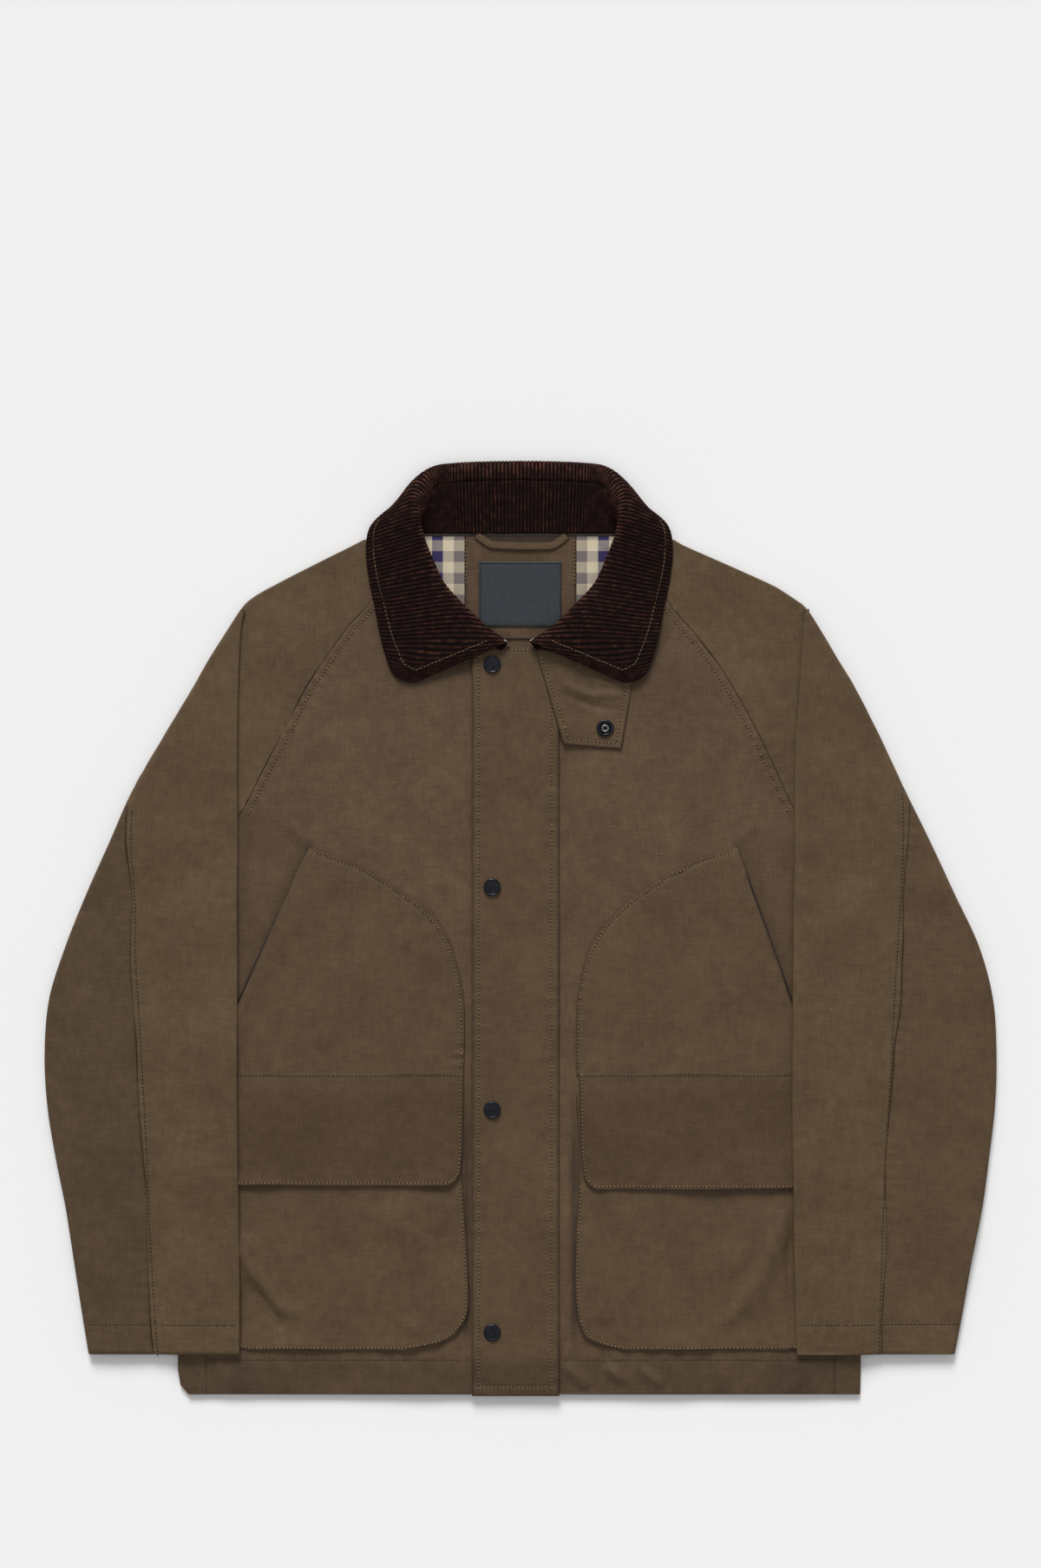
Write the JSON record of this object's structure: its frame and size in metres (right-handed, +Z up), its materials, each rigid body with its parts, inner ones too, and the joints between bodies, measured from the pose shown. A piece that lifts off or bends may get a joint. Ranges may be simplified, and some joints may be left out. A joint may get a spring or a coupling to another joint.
{
  "type": "waxed cotton jacket laid flat",
  "caption": "Short waxed cotton jacket laid flat and closed, with raglan sleeves, corduroy collar, storm flap with press studs, throat tab and flapped pockets.",
  "frame": {"origin": "on the surface it lies on, below the middle of the jacket's box", "axes": "+Z up out of the front, +Y towards the collar, +X towards the wearer's left sleeve"},
  "size_m": [0.822, 0.8041, 0.0165],
  "materials": {
    "waxed_cotton": "dull waxed plain weave",
    "corduroy": "eight wale corduroy",
    "facing_cotton": "matte plain weave",
    "gingham_lining": "printed cotton check",
    "woven_label": "matte woven",
    "gunmetal": "dark plated, satin"
  },
  "bodies": {
    "root": {"back": "waxed_cotton", "front_right": "waxed_cotton", "front_left": "waxed_cotton", "storm_flap": "waxed_cotton", "throat_tab": "waxed_cotton", "sleeve_right_shoulder": "waxed_cotton", "sleeve_right_front": "waxed_cotton", "sleeve_right_back": "waxed_cotton", "pocket_right_upper": "waxed_cotton", "pocket_right_bag": "waxed_cotton", "pocket_right_flap": "waxed_cotton", "sleeve_left_shoulder": "waxed_cotton", "sleeve_left_front": "waxed_cotton", "sleeve_left_back": "waxed_cotton", "pocket_left_upper": "waxed_cotton", "pocket_left_bag": "waxed_cotton", "pocket_left_flap": "waxed_cotton", "collar_fall": "corduroy", "collar_stand": "corduroy", "neck_facing": "facing_cotton", "neck_lining_right": "gingham_lining", "neck_lining_left": "gingham_lining", "neck_label": "woven_label", "hanger_loop": "waxed_cotton", "stud_1": "gunmetal", "stud_2": "gunmetal", "stud_3": "gunmetal", "stud_4": "gunmetal", "stud_tab": "gunmetal"}
  },
  "joints": []
}
